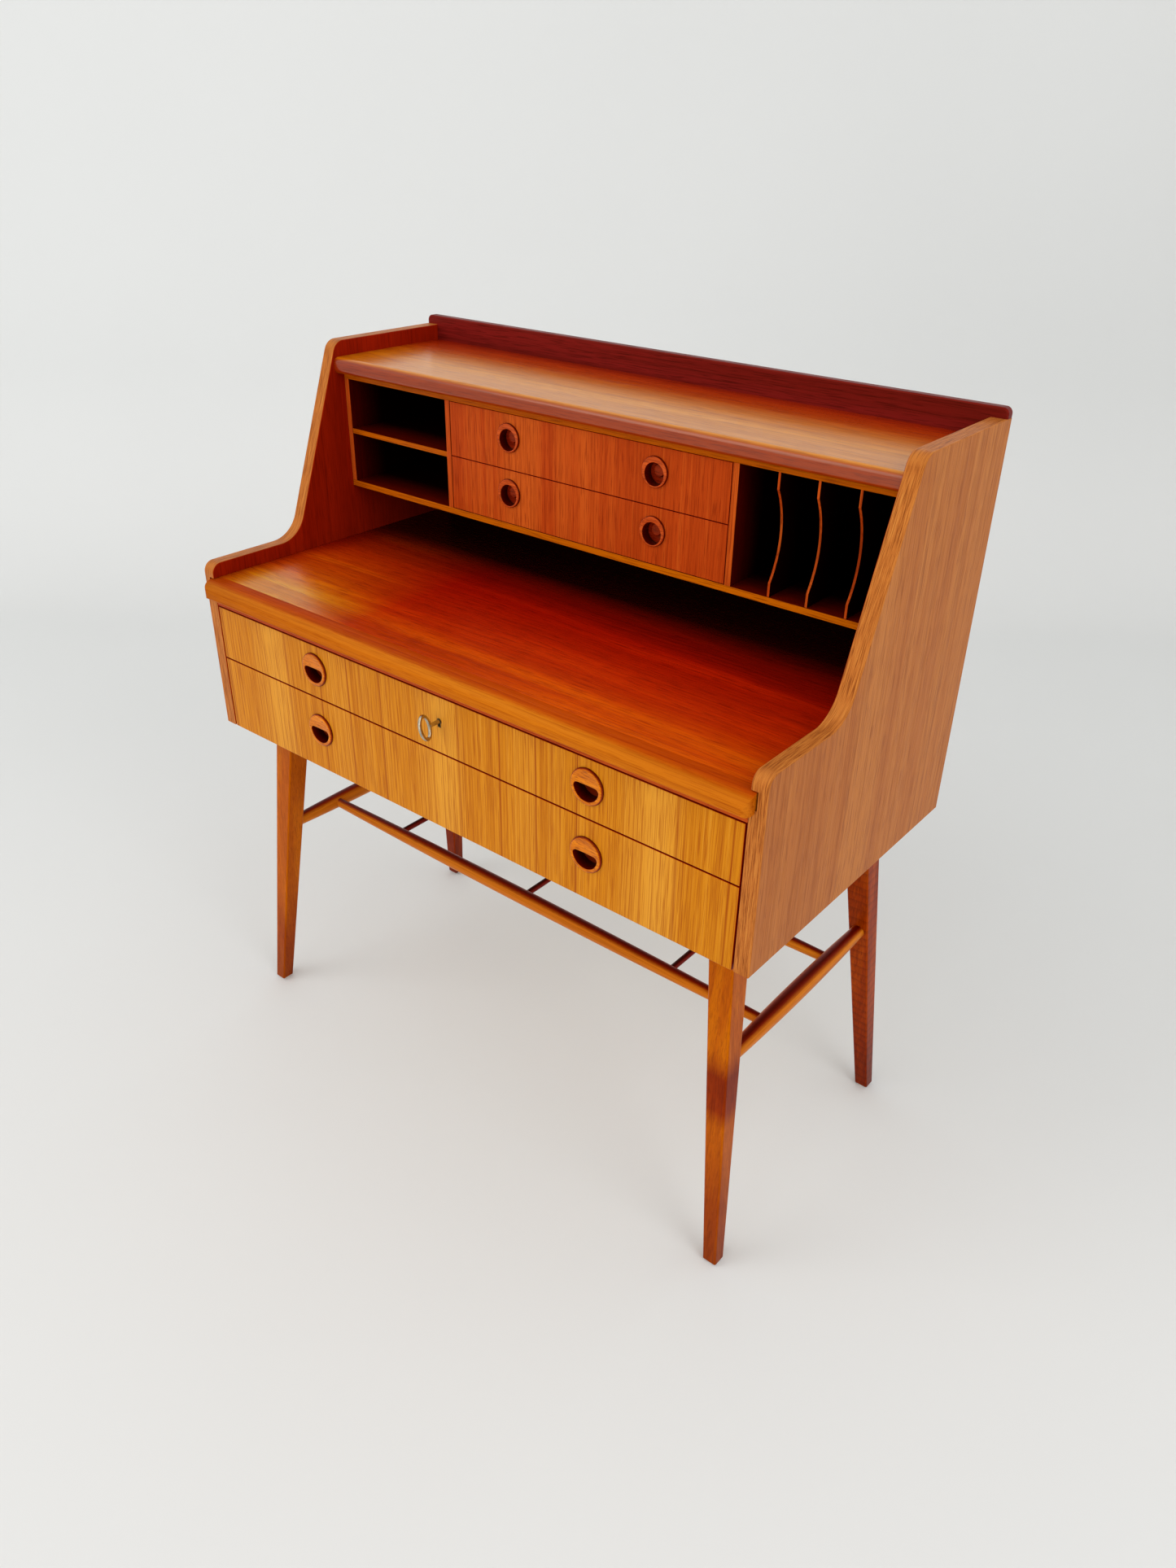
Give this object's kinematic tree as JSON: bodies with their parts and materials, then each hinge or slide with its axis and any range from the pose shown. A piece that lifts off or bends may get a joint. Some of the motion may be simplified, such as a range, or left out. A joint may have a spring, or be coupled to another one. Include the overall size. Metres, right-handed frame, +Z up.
{
  "type": "secretary desk",
  "caption": "Teak secretary desk on splayed tapered legs, with a pull-out writing leaf, long and small drawers with turned pulls, letter slots, pigeonholes and a rung magazine rack.",
  "frame": {"origin": "on the floor, under the middle of the whole desk including its key", "axes": "+X to the right of a person sitting at the desk, +Y from its front to its back, +Z up"},
  "size_m": [0.94, 0.509, 1.0386],
  "materials": {
    "teak_veneer": "oiled straight-grained teak veneer",
    "teak_front": "oiled golden teak veneer with streaked upright grain",
    "teak_solid": "oiled solid teak",
    "beech_stained": "beech stained to match teak, satin",
    "drawer_wood": "pale unfinished hardwood",
    "hardboard": "smooth stained board",
    "nickel": "worn polished nickel plate",
    "lock_steel": "plain stamped steel",
    "brass": "dulled brass",
    "glide_plastic": "pale matte plastic"
  },
  "bodies": {
    "carcass": {"left_side_panel": "teak_veneer", "right_side_panel": "teak_veneer", "top_board": "teak_veneer", "gallery_rail": "teak_solid", "back_panel": "hardboard", "back_panel_screws": "lock_steel", "bottom_board": "drawer_wood", "front_rail": "teak_solid", "strike_plate": "lock_steel", "insert_bottom": "teak_veneer", "insert_top": "teak_veneer", "insert_left_wall": "teak_veneer", "insert_right_wall": "teak_veneer", "insert_left_divider": "teak_veneer", "insert_right_divider": "teak_veneer", "pigeonhole_shelf": "teak_veneer", "small_drawer_dust_shelf": "hardboard", "letter_divider_1": "teak_veneer", "letter_divider_2": "teak_veneer", "letter_divider_3": "teak_veneer", "upper_drawer_runners": "drawer_wood", "lower_drawer_runners": "drawer_wood", "front_left_leg": "beech_stained", "front_right_leg": "beech_stained", "rear_left_leg": "beech_stained", "rear_right_leg": "beech_stained", "leg_bolts": "lock_steel", "leg_glides": "glide_plastic", "left_side_stretcher": "teak_solid", "right_side_stretcher": "teak_solid", "front_stretcher": "teak_solid", "rear_stretcher": "teak_solid", "rack_rungs": "teak_solid"},
    "leaf": {"writing_leaf": "teak_veneer", "leaf_nosing": "teak_solid", "leaf_stop_pegs": "beech_stained"},
    "upper_long_drawer": {"upper_long_front": "teak_front", "upper_long_sides": "drawer_wood", "upper_long_back": "drawer_wood", "upper_long_bottom": "hardboard", "upper_long_pulls": "teak_solid", "lock_case": "lock_steel", "escutcheon": "brass"},
    "lower_long_drawer": {"lower_long_front": "teak_front", "lower_long_sides": "drawer_wood", "lower_long_back": "drawer_wood", "lower_long_bottom": "hardboard", "lower_long_pulls": "teak_solid"},
    "upper_small_drawer": {"upper_small_front": "teak_front", "upper_small_sides": "drawer_wood", "upper_small_back": "drawer_wood", "upper_small_bottom": "hardboard", "upper_small_pulls": "teak_solid"},
    "lower_small_drawer": {"lower_small_front": "teak_front", "lower_small_sides": "drawer_wood", "lower_small_back": "drawer_wood", "lower_small_bottom": "hardboard", "lower_small_pulls": "teak_solid"},
    "lock_key": {"key": "nickel"},
    "bolt": {"lock_bolt": "lock_steel"}
  },
  "joints": [
    {"name": "leaf_slide", "type": "slide", "parent": "carcass", "child": "leaf", "axis": [0, -1, 0], "range_m": [0, 0.18]},
    {"name": "upper_long_slide", "type": "slide", "parent": "carcass", "child": "upper_long_drawer", "axis": [0, -1, 0], "range_m": [0, 0.3]},
    {"name": "lower_long_slide", "type": "slide", "parent": "carcass", "child": "lower_long_drawer", "axis": [0, -1, 0], "range_m": [0, 0.3]},
    {"name": "upper_small_slide", "type": "slide", "parent": "carcass", "child": "upper_small_drawer", "axis": [0, -1, 0], "range_m": [0, 0.13]},
    {"name": "lower_small_slide", "type": "slide", "parent": "carcass", "child": "lower_small_drawer", "axis": [0, -1, 0], "range_m": [0, 0.13]},
    {"name": "key_turn", "type": "hinge", "parent": "upper_long_drawer", "child": "lock_key", "pos_m": [0, -0.2205, 0.6615], "axis": [0, -1, 0], "range_deg": [0, 180]},
    {"name": "bolt_slide", "type": "slide", "parent": "upper_long_drawer", "child": "bolt", "axis": [0, 0, 1], "range_m": [0, 0.007]}
  ],
  "couplings": [
    {"joint": "key_turn", "follows": "bolt_slide", "rad_per_m": 448.7}
  ]
}
